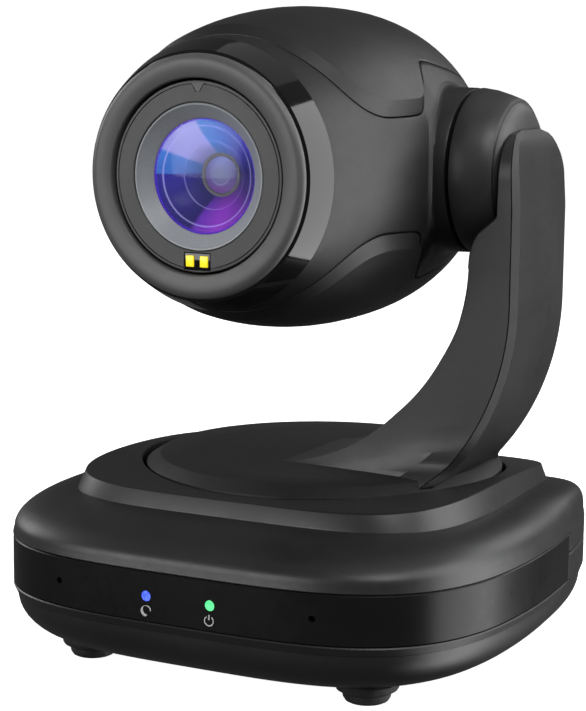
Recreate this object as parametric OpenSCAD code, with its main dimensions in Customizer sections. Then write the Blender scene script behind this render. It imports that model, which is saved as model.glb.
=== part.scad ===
// Desk pan-tilt-zoom camera on a squarish base with one curved side arm.
// Frame: origin on the table under the centre of the base, +Z up, lens looking along -Y,
// arm on the +X side. All sizes in millimetres.

/* [Base] */
// Width of the base across the fascia
base_w = 130; // [128:0.5:132]
// Depth of the base from front to rear
base_d = 123.6; // [123:0.2:124.2]
// Height of the underside of the shell above the table
base_lift = 4; // [3.5:0.5:4.5]
// Height of the fascia's lower edge
band_low = 17.6; // [17:0.2:18]
// Height of the fascia's upper edge
band_high = 29.3; // [29:0.1:30]
// Height where the lower and upper shells meet
parting_z = 24; // [23.5:0.5:24.5]
// Highest point of the raised plinth
plinth_top = 44; // [43.5:0.5:44.5]
// Distance of the pan axis behind the base's centre
pan_y = 11.3; // [11:0.1:11.6]

/* [Turntable and arm] */
// Radius of the turntable's flat top
disc_r = 42; // [41:0.5:43]
// Radius of the opening in the plinth
hole_r = 46.3; // [46:0.1:46.6]
// Height of the turntable's top
disc_top = 45.3; // [45:0.1:45.5]
// Height of the tilt axis above the table
tilt_z = 118.2; // [118:0.1:119]
// Depth of the arm along Y
arm_depth = 34; // [32:1:36]
// Radius of the hub that carries the head
hub_r = 20; // [19.5:0.5:20]

/* [Head] */
// Largest radius of the head
head_r = 38.7; // [38.5:0.1:39]
// Distance from the tilt axis to the front rim
head_front = 66; // [65:0.5:67]
// Distance from the tilt axis to the rear cap
head_rear = 44; // [43:0.5:45]
// Thickness of the head's shells
shell_wall = 1.8; // [1.6:0.1:2]

/* [Drive] */
// Teeth on the gear fixed to the spindle
pan_teeth = 54; // [54:3:57]
// Teeth on the pan motor's pinion
pinion_teeth = 18; // [18:1:19]
// Tooth module of the pan gears
pan_module = 0.8; // [0.8:0.05:0.8]
// Teeth on the gear fixed to the trunnion
tilt_teeth = 48; // [48:2:50]
// Tooth module of the tilt gears
tilt_module = 0.5; // [0.5:0.05:0.5]

/* [Hidden] */
steps = 96;
$fn = 64;
fit = 0.05;
seam = 0.1;
wall = 2.4;
half_w = base_w / 2;
front_d = base_d / 2 + pan_y;
rear_d = base_d / 2 - pan_y;
floor_z = base_lift + 2;
dish_z = 36;
dish_t = 2.6;
ledge_z = 38.6;
fascia_t = 2;
fascia_end = 9;
lamp_x = 8.3;
lamp_z = 23.6;
mic_x = 33;
post_x = 37;
front_post = -39.5;
rear_post = 40;
board_z = 9;
board_t = 1.6;
plate_z = 30.2;
spindle_r = 10;
gear_z = 18;
gear_t = 3;
pan_gap = (pan_teeth + pinion_teeth) * pan_module / 2 + fit;
tilt_gap = (tilt_teeth + pinion_teeth) * tilt_module / 2 + fit;
shaft_r = 5;
boss_x = 40;
hub_x = 40.8;
arc_c = [-8, 95.8];
arc_r = 50.3;
back_c = [-4.8, 88];
back_r = 61;
cover_t = 2.5;
sector = 62;
posts = [[-post_x, front_post], [post_x, front_post], [-post_x, rear_post], [post_x, rear_post]];
bracket_points = [[-44, -13.5], [-44, 13.5], [20, -13.5], [20, 13.5]];
black = [0.09, 0.09, 0.1];
charcoal = [0.17, 0.17, 0.18];

// ---- outlines and lofts ----

// Rounded outline of the base: bulged front, sides that draw in towards the rear
function narrow(y) = 1 - 0.000026 * pow(max(0, y + 20), 2);
function outline(hx, yf, yr, nf, nr) = [
  for (i = [0 : steps - 1])
    let (t = 360 * i / steps, c = cos(t), s = sin(t), n = s < 0 ? nf : nr)
    let (k = pow(pow(abs(c), n) + pow(abs(s), n), -1 / n), y = (s < 0 ? yf : yr) * k * s)
    [hx * k * c * narrow(y), y + pan_y]
];
// How far the ledge falls towards the rear
function sag(y) = pow(max(0, y - pan_y - 5), 2) / 422;
function ring(o, z, w = 0) = [for (p = o) [p[0], p[1], z - w * sag(p[1])]];
function band(inset = 0) = outline(half_w - inset, front_d - inset, rear_d - inset, 3.6, 5);

// Closed solid through a stack of rings, lowest first
module loft(rings) {
  n = len(rings[0]);
  m = len(rings);
  low = [for (i = [0 : n - 1]) i];
  high = [for (i = [n - 1 : -1 : 0]) (m - 1) * n + i];
  sides = [
    for (k = [0 : m - 2], i = [0 : n - 1])
      let (j = (i + 1) % n, a = k * n + i, b = k * n + j, c = b + n, d = a + n)
      each [[a, d, c], [a, c, b]]
  ];
  polyhedron([for (r = rings, p = r) p], concat([low], sides, [high]));
}

module at_pan() {
  translate([0, pan_y, 0]) children();
}

module at_tilt() {
  translate([0, pan_y, tilt_z]) children();
}

// Turns a shape drawn along +Z to lie along +X from the tilt axis
module along_x() {
  rotate([0, 90, 0]) children();
}

// Turns a shape drawn along +Z to look forward along -Y
module forward() {
  rotate([90, 0, 0]) children();
}

module tube(r_out, r_in, z0, z1) {
  translate([0, 0, z0])
    difference() {
      cylinder(r = r_out, h = z1 - z0);
      translate([0, 0, -1]) cylinder(r = r_in, h = z1 - z0 + 2);
    }
}

// Involute spur gear with a little backlash, one tooth centred on angle `turn`
function inv_point(rb, a) = let (w = a * 180 / PI) rb * [cos(w) + a * sin(w), sin(w) - a * cos(w)];
function turned(p, a) = [p[0] * cos(a) - p[1] * sin(a), p[0] * sin(a) + p[1] * cos(a)];
module spur(teeth, m, h, turn = 0, slack = 0.12) {
  rp = teeth * m / 2;
  rb = rp * cos(20);
  ra = rp + 0.9 * m;
  rr = rp - 1.2 * m;
  lead = tan(20) * 180 / PI - 20;
  half = 90 / teeth + lead - slack / rp * 90 / PI;
  flank = [
    for (i = [0 : 4])
      let (r = max(rb, rr) + (ra - max(rb, rr)) * i / 4, a = sqrt(max(0, pow(r / rb, 2) - 1)))
      turned(inv_point(rb, a), -half)
  ];
  tooth = concat([turned([rr, 0], -half)], flank, [for (i = [4 : -1 : 0]) [flank[i][0], -flank[i][1]]],
                 [turned([rr, 0], half)]);
  linear_extrude(h)
    rotate(turn)
      polygon([for (k = [0 : teeth - 1], p = tooth) turned(p, 360 * k / teeth)]);
}

// ---- base ----

module band_prism(inset, z0, z1) {
  translate([0, 0, z0]) linear_extrude(z1 - z0) polygon(band(inset));
}

// Space taken by the fascia, with the given play all round
module fascia_space(play) {
  difference() {
    band_prism(-1, band_low - play, band_high + play);
    band_prism(fascia_t + play, band_low - 1, band_high + 1);
    translate([-half_w - 5, pan_y + fascia_end + play, band_low - 1])
      cube([base_w + 10, base_d, band_high - band_low + 2]);
  }
}

module screw_posts(r, z0, z1) {
  for (p = posts) translate([p[0], p[1], z0]) cylinder(r = r, h = z1 - z0);
}

module front_holes() {
  translate([-14, -base_d / 2 + 1, lamp_z - 3.2]) cube([28, 8, 6.4]);
  for (s = [-1, 1])
    translate([s * mic_x, -base_d / 2 + 12, lamp_z]) forward() cylinder(r = 3.1, h = 12);
}

module lower_skin() {
  side = 12.2;
  back = 7;
  loft([
    for (a = [90 : -15 : 0])
      let (f = 1 - cos(a), z = band_low - (band_low - base_lift) * sin(a))
      ring(outline(half_w - side * f, front_d - side * f, rear_d - back * f, 3.6, 5), z)
  ]);
  band_prism(0, band_low, parting_z);
}

module lower_shell() color(charcoal)
  difference() {
    union() {
      difference() {
        lower_skin();
        loft([
          ring(outline(49, 57, 41, 3.6, 5), floor_z),
          ring(outline(58.5, 66.5, 46.6, 3.6, 5), floor_z + 4),
          ring(band(4.4), band_low),
          ring(band(4.4), parting_z + 1)
        ]);
      }
      screw_posts(4.5, floor_z, parting_z);
      for (s = [-1, 1]) translate([s * 20 - 1.5, -52, floor_z]) cube([3, 4.8, 9]);
    }
    translate([-23, -50.3, 12]) cube([46, 1.4, 8]);
    fascia_space(seam);
    screw_posts(1.7, base_lift - 1, parting_z + 1);
    screw_posts(3.1, base_lift - 1, floor_z);
    front_holes();
    translate([0, 0, base_lift - 1]) cylinder(r = 5.1, h = 4);
    translate([-34, base_d / 2 - 12, 8.5]) cube([68, 20, 13.5]);
  }

// Height of the crowned plinth top, which falls to front and rear
function crown(y) = plinth_top - pow(y - pan_y + 15, 2) / 736;
function crowned(o) = [for (p = o) [p[0], p[1], crown(p[1])]];
function round_outline(r) = [for (i = [0 : steps - 1]) let (t = 360 * i / steps) [r * cos(t), r * sin(t) + pan_y]];

// Outer skin of the upper shell: shoulder, ledge and raised plinth
module upper_skin() {
  shoulder = [
    for (a = [0 : 15 : 90])
      let (f = 1 - cos(a), z = band_high + (ledge_z - band_high) * sin(a))
      ring(outline(half_w - 12.3 * f, front_d - 20.4 * f, rear_d - 1.6 * f,
                   3.6 + 0.6 * f, 5 + f), z, sin(a))
  ];
  loft(concat(
    [ring(band(), parting_z)],
    shoulder,
    [
      crowned(outline(51, 50.9, rear_d - 2.6, 4.2, 6)),
      crowned(round_outline(hole_r - 0.6)),
      ring(round_outline(hole_r - 1.6), dish_z + 2)
    ]
  ));
}

module upper_shell() color(charcoal)
  difference() {
    union() {
      difference() {
        upper_skin();
        loft([
          ring(band(4.4), parting_z - 1),
          ring(band(4.4), band_high),
          ring(outline(57, 60, 45, 3.8, 5.5), dish_z - dish_t)
        ]);
      }
      screw_posts(4, parting_z, dish_z - 1);
      at_pan()
        for (p = bracket_points)
          translate([p[0], p[1], plate_z + 2]) cylinder(r = 3, h = dish_z - dish_t - plate_z);
    }
    fascia_space(seam);
    front_holes();
    screw_posts(1.5, parting_z - 1, 31);
    at_pan() {
      translate([0, 0, dish_z]) cylinder(r = hole_r, h = 20);
      cylinder(r = 13.5, h = 60);
      for (p = bracket_points) translate([p[0], p[1], 0]) cylinder(r = 1.25, h = 34.6);
    }
  }

module front_fascia() color(black)
  difference() {
    fascia_space(0);
    difference() {
      band_prism(-3, band_low - 1, band_high + 1);
      band_prism(0, band_low - 2, band_high + 2);
    }
    for (s = [-1, 1]) {
      translate([s * lamp_x, -base_d / 2 + 6, lamp_z]) forward() cylinder(r = 1.25, h = 8);
      translate([s * mic_x, -base_d / 2 + 6, lamp_z]) forward() cylinder(r = 0.8, h = 8);
    }
  }

module base_plate() color("silver")
  translate([0, 0, floor_z])
    difference() {
      linear_extrude(2) polygon(outline(46.5, 54.5, 38.5, 3.6, 5));
      translate([0, 0, -1]) cylinder(r = 5.1, h = 4);
      for (p = posts) translate([p[0], p[1], -1]) cylinder(r = 5, h = 4);
    }

module tripod_insert() color("goldenrod")
  difference() {
    union() {
      translate([0, 0, base_lift]) cylinder(r = 5, h = 10);
      translate([0, 0, floor_z + 2]) cylinder(r = 7, h = 2);
    }
    translate([0, 0, base_lift - 1]) cylinder(r = 2.6, h = 9);
  }

module rubber_feet() color(black)
  for (p = posts)
    translate([p[0], p[1], 0])
      rotate_extrude()
        polygon([[0, 0.8], [2.4, 0], [4, 0], [4.6, 0.5], [5.2, 2.6], [6.5, 3.1], [6.5, base_lift], [0, base_lift]]);

module base_screws() color("dimgray")
  for (p = posts)
    translate([p[0], p[1], 0]) {
      translate([0, 0, base_lift]) cylinder(r = 2.9, h = 2);
      translate([0, 0, base_lift + 2]) cylinder(r = 1.45, h = 24);
    }

module main_board() color("darkgreen")
  translate([0, 0, board_z])
    difference() {
      translate([-46, -38, 0]) cube([92, 92, board_t]);
      translate([0, 0, -1]) cylinder(r = 7.5, h = 4);
      for (p = posts) translate([p[0], p[1], -1]) cylinder(r = 5.2, h = 4);
      for (s = [-1, 1]) translate([s * 46, 54, -1]) rotate(45) cube([16, 16, 8], center = true);
    }

module board_chips() color([0.1, 0.1, 0.1])
  translate([0, 0, board_z + board_t]) {
    translate([-28, -30, 0]) cube([14, 14, 1.4]);
    translate([10, -32, 0]) cube([18, 20, 2.5]);
    translate([14, -4, 0]) cube([10, 8, 1.2]);
    translate([-30, -6, 0]) cube([8, 12, 2]);
    for (i = [0 : 2]) translate([-12 + 6 * i, 26, 0]) cylinder(r = 2.5, h = 5);
  }

// Shapes that pass through the rear panel, grown by `play`
module jack_block(play) {
  translate([-24.5 - play, 40, 10.6 - play]) cube([9 + 2 * play, 20, 10 + 2 * play]);
}

module usb_block(play) {
  translate([-6 - play, 40, 10.6 - play]) cube([12 + 2 * play, 20, 10.5 + 2 * play]);
}

module control_block(play) {
  translate([20, 60, 15.8]) forward() cylinder(r = 5 + play, h = 20);
}

module rear_panel() color(black)
  difference() {
    translate([-33.9, 57.3, 8.6]) cube([67.8, 2, 13.3]);
    jack_block(seam);
    usb_block(seam);
    control_block(seam);
  }

module power_jack() color([0.12, 0.12, 0.12]) {
  difference() {
    jack_block(0);
    translate([-20, 61, 15.6]) forward() cylinder(r = 3.1, h = 12);
  }
  translate([-20, 59, 15.6]) forward() cylinder(r = 1, h = 11);
}

module usb_socket() color("lightgray") {
  difference() {
    usb_block(0);
    translate([-4.4, 51, 12]) cube([8.8, 10, 7.6]);
  }
  translate([-2.9, 49, 14.2]) cube([5.8, 10, 3.2]);
}

module control_socket() color([0.12, 0.12, 0.12]) {
  difference() {
    control_block(0);
    translate([20, 61, 15.8]) forward() cylinder(r = 4.2, h = 9);
  }
  for (i = [0 : 5])
    translate([20 + 2.3 * cos(60 * i), 59, 15.8 + 2.3 * sin(60 * i)]) forward() cylinder(r = 0.45, h = 8, $fn = 16);
}

module indicator_board() color("darkgreen")
  difference() {
    translate([-22, -50.2, 12]) cube([44, 1.2, 15]);
    translate([-30, -52, 11]) cube([14, 4, 4]);
  }

module light_pipe(side) {
  translate([side * lamp_x, -50.2, lamp_z]) forward() cylinder(r = 1.2, h = base_d / 2 - 50.2 - 0.35);
  translate([side * lamp_x, -50.2, lamp_z]) forward() cylinder(r = 2.2, h = 2);
}

module standby_light_pipe() color([0.25, 0.35, 0.95]) light_pipe(-1);

module power_light_pipe() color([0.3, 0.95, 0.5]) light_pipe(1);

module microphones() color("silver")
  for (s = [-1, 1]) translate([s * mic_x, -51, lamp_z]) forward() cylinder(r = 3, h = 6);

module remote_receiver() color([0.1, 0.1, 0.1])
  translate([-2.5, -53.2, lamp_z - 3]) cube([5, 3, 6]);

module drive_bracket() color("silver")
  at_pan()
    difference() {
      translate([-50, -19, plate_z]) cube([76, 38, 2]);
      translate([0, 0, plate_z - 1]) cylinder(r = 13 + fit, h = 4);
      for (p = bracket_points) translate([p[0], p[1], plate_z - 1]) cylinder(r = 1.4, h = 4);
    }

module bracket_screws() color("dimgray")
  at_pan()
    for (p = bracket_points)
      translate([p[0], p[1], 0]) {
        translate([0, 0, plate_z - 1.6]) cylinder(r = 2.4, h = 1.6);
        translate([0, 0, plate_z]) cylinder(r = 1.2, h = 4);
      }

module pan_bush() color("tan")
  at_pan() {
    tube(13, spindle_r + fit, 24, 35.9);
    tube(15.6, spindle_r + fit, plate_z - 2, plate_z);
  }

module thrust_ring() color("ivory") at_pan() tube(34, 30, dish_z, dish_z + 0.9);

module pan_motor() color("silver")
  at_pan()
    translate([-pan_gap, 0, 0])
      difference() {
        translate([0, 0, gear_z + gear_t + 0.7]) cylinder(r = 12, h = plate_z - gear_z - gear_t - 0.7);
        cylinder(r = 1.5 + fit, h = 27);
      }

module pan_pinion() color("goldenrod")
  at_pan()
    translate([-pan_gap, 0, 0]) {
      translate([0, 0, gear_z - 0.3]) spur(pinion_teeth, pan_module, gear_t + 0.6, 180 / pinion_teeth);
      translate([0, 0, gear_z - 1.5]) cylinder(r = 1.5, h = 10);
    }

// ---- turntable and arm ----

module turntable() color(charcoal)
  at_pan() {
    difference() {
      rotate_extrude($fn = 128)
        polygon([
          [0, disc_top - 2.2], [disc_r + 1, disc_top - 2.2], [disc_r + 1, dish_z + 1.3], [disc_r + 3.2, dish_z + 1.3],
          [disc_r + 3.2, disc_top - 1.9], [disc_r, disc_top], [0, disc_top]
        ]);
      translate([26, 0, 0]) cylinder(r = 3.2, h = 60);
      arm_screw_holes(1.6, 60);
    }
    tube(34, 30, dish_z + 1, disc_top - 2.2);
  }

module arm_screw_holes(r, h) {
  for (x = [20.8, 26], y = [-8, 8]) translate([x, y, 30]) cylinder(r = r, h = h);
}

module spindle() color("silver")
  at_pan()
    difference() {
      union() {
        translate([0, 0, 16]) cylinder(r = spindle_r, h = disc_top - 2.2 - 16);
        translate([0, 0, disc_top - 5]) cylinder(r = 18, h = 2.8);
      }
      translate([0, 0, 15]) cylinder(r = 6, h = 25.3);
      translate([0, 0, 38.3]) along_x() cylinder(r = 1.8, h = 12);
      tube(spindle_r + 1, spindle_r - 1, 16.6, gear_z - 0.2);
    }

module pan_gear() color("ivory")
  at_pan()
    difference() {
      translate([0, 0, gear_z]) spur(pan_teeth, pan_module, gear_t);
      translate([0, 0, gear_z - 1]) cylinder(r = spindle_r + 0.02, h = gear_t + 2);
    }

module spindle_clip() color("dimgray")
  at_pan()
    difference() {
      tube(12.5, spindle_r - 0.9, 16.7, gear_z - 0.3);
      translate([-1.5, 0, 16]) cube([3, 20, 3]);
    }

function arc(c, r, a0, a1, n = 14) = [for (i = [0 : n]) let (a = a0 + (a1 - a0) * i / n) [c[0] + r * cos(a), c[1] + r * sin(a)]];
function foot_angle(r) = -asin((back_c[1] - disc_top) / r);

// Side outline of the sickle, drawn in X and Z, between an inner and an outer arc
module sickle(inner, outer, top) {
  polygon(concat(
    [[arc_c[0], disc_top]],
    arc(arc_c, inner, -90, 0),
    [[arc_c[0] + inner, top], [back_c[0] + outer, top]],
    arc(back_c, outer, 0, foot_angle(outer))
  ));
}

module across_y(depth) {
  translate([0, depth / 2, 0]) rotate([90, 0, 0]) linear_extrude(depth) children();
}

// Outer surface of the hub, a cone that closes into a dome
module hub_form(grow, x0, x1) {
  at_tilt()
    along_x()
      intersection() {
        rotate_extrude($fn = 96)
          polygon([
            [0, hub_x], [hub_r + grow, hub_x], [19.2 + grow, 44], [17.2 + grow, 48], [15.4 + grow, 50.8], [13.6 + grow, 52.9],
            [10.8 + grow, 54.7], [8 + grow, 56.3], [5 + grow, 57 + grow], [0, 57 + grow]
          ]);
        translate([0, 0, x0]) cylinder(r = 40, h = x1 - x0);
      }
}

module arm_shell() color(charcoal)
  difference() {
    union() {
      difference() {
        at_pan() across_y(arm_depth) sickle(arc_r, back_r - cover_t - seam, tilt_z);
        hub_form(0.2, 50, 60);
      }
      hub_form(0, hub_x, 50);
    }
    at_pan()
      across_y(arm_depth - 4)
        polygon(concat(
          [[33, disc_top - 1], [17.5, disc_top - 1]],
          arc(arc_c, arc_r + 2.2, -60, 0),
          [[arc_c[0] + arc_r + 2.2, tilt_z], [back_c[0] + back_r - cover_t - 2, tilt_z]],
          arc(back_c, back_r - cover_t - 2, 0, -42)
        ));
    at_tilt() along_x() translate([0, 0, hub_x + 2]) cylinder(r1 = 17.4, r2 = 14, h = 8);
    at_tilt() along_x() cylinder(r = shaft_r + 0.3, h = 60);
  }

// Side view of the arm's rounded upper end, as a solid that spans its width
module arm_end(r) {
  at_tilt() along_x() cylinder(r = r, h = 70, $fn = 96);
  translate([0, pan_y - r, 0]) cube([70, 2 * r, tilt_z]);
}

module arm_cover() color(black)
  difference() {
    intersection() {
      at_pan()
        across_y(arm_depth + 4)
          polygon(concat(
            arc(back_c, back_r, foot_angle(back_r), 0),
            [[56.2, 108], [55.4, 117], [53.8, 123.6], [52.4, 127], [51.2, 126.2], [53, 121.5], [53.7, 118.4]],
            arc(back_c, back_r - cover_t, 0, foot_angle(back_r - cover_t))
          ));
      arm_end(arm_depth / 2);
    }
    hub_form(0.2, 50.1, 60);
  }

module hub_cap() color(black)
  difference() {
    hub_form(0, 50.1, 58);
    at_tilt() along_x() translate([0, 0, 49]) cylinder(r1 = 13.6, r2 = 9, h = 5.4);
  }

module arm_frame() color("silver")
  difference() {
    union() {
      at_pan()
        across_y(24)
          polygon(concat(
            [[18.4, disc_top], [32.5, disc_top], [32.5, disc_top + 2.5]],
            arc(arc_c, arc_r + 4.5, -52, 0),
            [[46.8, 112], [44.8, 112]],
            arc(arc_c, arc_r + 2.5, 0, -56)
          ));
      at_tilt() along_x() translate([0, 0, 43.2]) cylinder(r = 14, h = 2);
      at_tilt() along_x() translate([0, 0, 43.2]) cylinder(r = 8, h = 9);
    }
    at_tilt() along_x() cylinder(r = shaft_r + 0.02, h = 60);
    at_pan() arm_screw_holes(1.4, 60);
  }

module arm_screws() color("dimgray")
  at_pan()
    for (x = [20.8, 26], y = [-8, 8])
      translate([x, y, 0]) {
        translate([0, 0, disc_top - 4]) cylinder(r = 2.6, h = 1.8);
        translate([0, 0, disc_top - 2.2]) cylinder(r = 1.35, h = 4.6);
      }

module trunnion_shaft() color("silver")
  at_tilt()
    along_x()
      difference() {
        tube(shaft_r, 3, 19.5, 52.2);
        tube(shaft_r + 1, shaft_r - 0.7, 20.3, 21.2);
      }

module trunnion_clip() color("dimgray")
  at_tilt()
    along_x()
      difference() {
        tube(6.8, shaft_r - 0.6, 20.4, 21.1);
        translate([-1.2, 0, 20]) cube([2.4, 10, 2]);
      }

module tilt_gear() color("ivory")
  at_tilt()
    along_x()
      translate([0, 0, 28.5])
        difference() {
          spur(tilt_teeth, tilt_module, 3, 90);
          translate([0, 0, -1]) cylinder(r = shaft_r + 0.02, h = 6);
        }

// ---- head ----

// Radius of the head at distance d ahead of the tilt axis
function head_at(d) = head_r * sqrt(1 - (d > 10 ? pow((d - 10) / 78.2, 2) : pow((10 - d) / 58, 2.6)));

// Shell of the head between two distances ahead of the axis, turned about the lens axis
module head_skin(d0, d1, inset, t, n = 10) {
  stations = [for (i = [0 : n]) d0 + (d1 - d0) * i / n];
  at_tilt()
    forward()
      rotate_extrude($fn = 128)
        polygon(concat(
          [for (d = stations) [head_at(d) - inset, d]],
          [for (i = [n : -1 : 0]) [head_at(stations[i]) - inset - t, stations[i]]]
        ));
}

// Solid of revolution about the lens axis from points of radius and distance
module lens_turned(points) {
  at_tilt() forward() rotate_extrude($fn = 96) polygon(points);
}

module wedge(side) {
  reach = 60;
  at_tilt()
    across_y(200)
      polygon([[0, 0], [-reach * tan(sector), side * reach], [reach * tan(sector), side * reach]]);
}

module middle_shell() color(charcoal)
  difference() {
    union() {
      head_skin(-22, 57.4, 1.5, shell_wall);
      at_tilt() along_x() translate([0, 0, 32.2]) cylinder(r = 19.5, h = boss_x - 32.2, $fn = 96);
    }
    at_tilt() along_x() translate([0, 0, 20]) cylinder(r = 17.6, h = boss_x - 22, $fn = 96);
    at_tilt() along_x() cylinder(r = 8, h = 60);
  }

// Raised cover over the upper (side 1) or lower (side -1) part of the middle shell
module raised_cover(side) {
  difference() {
    intersection() {
      head_skin(-21.9, 50.5, 0, 1.4);
      wedge(side);
    }
    at_tilt() along_x() cylinder(r = 20.3, h = 60);
  }
}

module top_shell() color(charcoal) raised_cover(1);

module bottom_shell() color(charcoal) raised_cover(-1);

module rear_shell() color(charcoal) {
  head_skin(-head_rear, -22.1, 0, 3.6, 14);
  lens_turned([[0, -head_rear], [head_at(-head_rear), -head_rear], [head_at(-head_rear) - 2, -head_rear + 2], [0, -head_rear + 2]]);
  difference() {
    screw_row(3, 17.4, 38);
    screw_row(1.25, 17, 24);
  }
}

// Cylinders along Y at the four screws that hold the rear shell to the chassis
module screw_row(r, y0, y1) {
  at_tilt()
    for (x = [-18, 18], z = [-10, 10])
      translate([x, y1, z]) forward() cylinder(r = r, h = y1 - y0);
}

module bezel_ring() color(black) head_skin(57.5, 64.2, 0.2, 2.4, 6);

module front_ring() color([0.25, 0.25, 0.26])
  lens_turned([
    [21.8, 58], [25.1, 58], [25.1, 64.3], [27.8, 64.3], [27.5, 65], [26.2, head_front], [22.8, head_front], [21.8, 65.2]
  ]);

module face_plate() color([0.2, 0.2, 0.21])
  difference() {
    lens_turned([[16.5, 60], [21.6, 60], [21.6, 64.9], [16.9, 64.9], [16.5, 64.5]]);
    at_tilt() translate([-3.4, -66, -20.7]) cube([6.8, 3, 4]);
  }

module status_window() color([0.95, 0.85, 0.1])
  at_tilt() {
    for (s = [-1, 1]) translate([s * 1.55 - 1.1, -64.8, -19.9]) cube([2.2, 0.8, 2.4]);
    translate([-3.3, -64, -20.6]) cube([6.6, 0.9, 3.8]);
  }

module lens_trim() color([0.5, 0.5, 0.52])
  lens_turned([[13, 57], [16.4, 57], [16.4, 63.1], [15.6, 63.1], [13, 61.3]]);

module front_glass() color([0.25, 0.2, 0.6, 0.5])
  lens_turned(concat([[0, 55.5], [12.9, 55.5]], [for (i = [0 : 8]) let (a = 8 - i) [12.9 * a / 8, 61.4 - 3.4 * pow(a / 8, 2)]]));

module lens_barrel() color([0.1, 0.1, 0.11])
  lens_turned([[13.2, -12], [15.6, -12], [15.6, 56.9], [13.2, 56.9]]);

module iris_stop() color("dimgray") lens_turned([[5, 14], [13.15, 14], [13.15, 15.2], [5, 15.2]]);

module zoom_group() color([0.3, 0.4, 0.5])
  lens_turned([[0, 33], [9, 31], [13.1, 31], [13.1, 39], [9, 39], [0, 40.5]]);

module focus_group() color([0.3, 0.4, 0.5])
  lens_turned([[0, 0.6], [7, 0], [13.1, 0], [13.1, 5], [7, 5], [0, 6.4]]);

module image_sensor() color([0.15, 0.2, 0.3]) at_tilt() translate([-5, 12.6, -4]) cube([10, 1.2, 8]);

module sensor_board() color("darkgreen") at_tilt() translate([-15, 13.8, -15]) cube([30, 1.6, 30]);

module lens_motors() color("silver")
  at_tilt()
    for (z = [-1, 1])
      translate([-20, -6, z * 6]) forward() cylinder(r = 4, h = 16);

module head_chassis() color("silver")
  difference() {
    at_tilt() {
      for (x = [-26, 24]) {
        translate([x, -24, -19]) cube([2, 38, 34]);
        translate([x, 13, -12]) cube([2, 4.4, 24]);
      }
      translate([-26, -24, -21]) cube([52, 34, 2]);
      translate([-8, -22, -19.5]) cube([16, 30, 8]);
      translate([-26, 15.4, -12]) cube([52, 2, 24]);
    }
    lens_turned([[0, -14], [15.7, -14], [15.7, 60], [0, 60]]);
    at_tilt() along_x() cylinder(r = 7.5 + 0.02, h = 60);
    at_tilt() translate([0, -tilt_gap, 0]) along_x() cylinder(r = 5.4, h = 60);
    screw_row(1.4, 10, 20);
  }

module tilt_bush() color("tan")
  at_tilt()
    along_x() {
      tube(7.5, shaft_r + fit, 21.5, 28);
      tube(9.5, shaft_r + fit, 26, 27.6);
    }

module tilt_motor() color("silver")
  at_tilt()
    translate([0, -tilt_gap, 0])
      along_x()
        difference() {
          translate([0, 0, 16.6]) cylinder(r = 8, h = 7.4);
          translate([0, 0, 18]) cylinder(r = 1 + fit, h = 10);
        }

module tilt_pinion() color("goldenrod")
  at_tilt()
    translate([0, -tilt_gap, 0])
      along_x() {
        translate([0, 0, 28.2]) spur(pinion_teeth, tilt_module, 3.6, -90 + 180 / pinion_teeth);
        translate([0, 0, 18.5]) cylinder(r = 1, h = 10);
      }

module shell_screws() color("dimgray") {
  screw_row(2.4, 13.8, 15.4);
  screw_row(1.2, 15.4, 23);
}

lower_shell();
upper_shell();
front_fascia();
base_plate();
tripod_insert();
rubber_feet();
base_screws();
main_board();
board_chips();
rear_panel();
power_jack();
usb_socket();
control_socket();
indicator_board();
standby_light_pipe();
power_light_pipe();
microphones();
remote_receiver();
drive_bracket();
bracket_screws();
pan_bush();
thrust_ring();
pan_motor();
pan_pinion();
turntable();
spindle();
pan_gear();
spindle_clip();
arm_shell();
arm_cover();
hub_cap();
arm_frame();
arm_screws();
trunnion_shaft();
trunnion_clip();
tilt_gear();
middle_shell();
top_shell();
bottom_shell();
rear_shell();
bezel_ring();
front_ring();
face_plate();
status_window();
lens_trim();
front_glass();
lens_barrel();
iris_stop();
zoom_group();
focus_group();
image_sensor();
sensor_board();
lens_motors();
head_chassis();
tilt_bush();
tilt_motor();
tilt_pinion();
shell_screws();
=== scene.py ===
# Looks of a desk pan-tilt-zoom camera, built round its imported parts
import bpy
import math
from mathutils import Matrix, Vector


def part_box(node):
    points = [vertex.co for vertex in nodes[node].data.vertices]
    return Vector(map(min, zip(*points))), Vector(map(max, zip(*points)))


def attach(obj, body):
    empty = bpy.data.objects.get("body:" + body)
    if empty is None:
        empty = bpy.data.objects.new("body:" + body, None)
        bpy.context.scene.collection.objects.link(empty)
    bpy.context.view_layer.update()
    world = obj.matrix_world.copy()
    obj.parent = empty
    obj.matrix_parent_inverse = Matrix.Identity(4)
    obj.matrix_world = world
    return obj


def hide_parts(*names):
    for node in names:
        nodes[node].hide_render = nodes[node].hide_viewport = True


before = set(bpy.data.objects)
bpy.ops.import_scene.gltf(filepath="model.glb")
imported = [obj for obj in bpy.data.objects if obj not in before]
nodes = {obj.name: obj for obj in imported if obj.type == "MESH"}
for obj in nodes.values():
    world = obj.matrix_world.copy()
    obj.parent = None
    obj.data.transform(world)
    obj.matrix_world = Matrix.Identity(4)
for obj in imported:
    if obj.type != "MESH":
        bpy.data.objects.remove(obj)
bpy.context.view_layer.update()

# Lengths are written in millimetres and turned to metres as a mesh is made
spindleLow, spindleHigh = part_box("spindle")
panY = (spindleLow.y + spindleHigh.y) * 500
shaftLow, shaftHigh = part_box("trunnion_shaft")
tiltZ = (shaftLow.z + shaftHigh.z) * 500
print("frame loaded, pan axis at", round(panY, 2), "tilt axis at", round(tiltZ, 2))


# small helpers

def smoothStep(value, low, high):
    part = min(1.0, max(0.0, (value - low) / (high - low)))
    return part * part * (3 - 2 * part)


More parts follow.
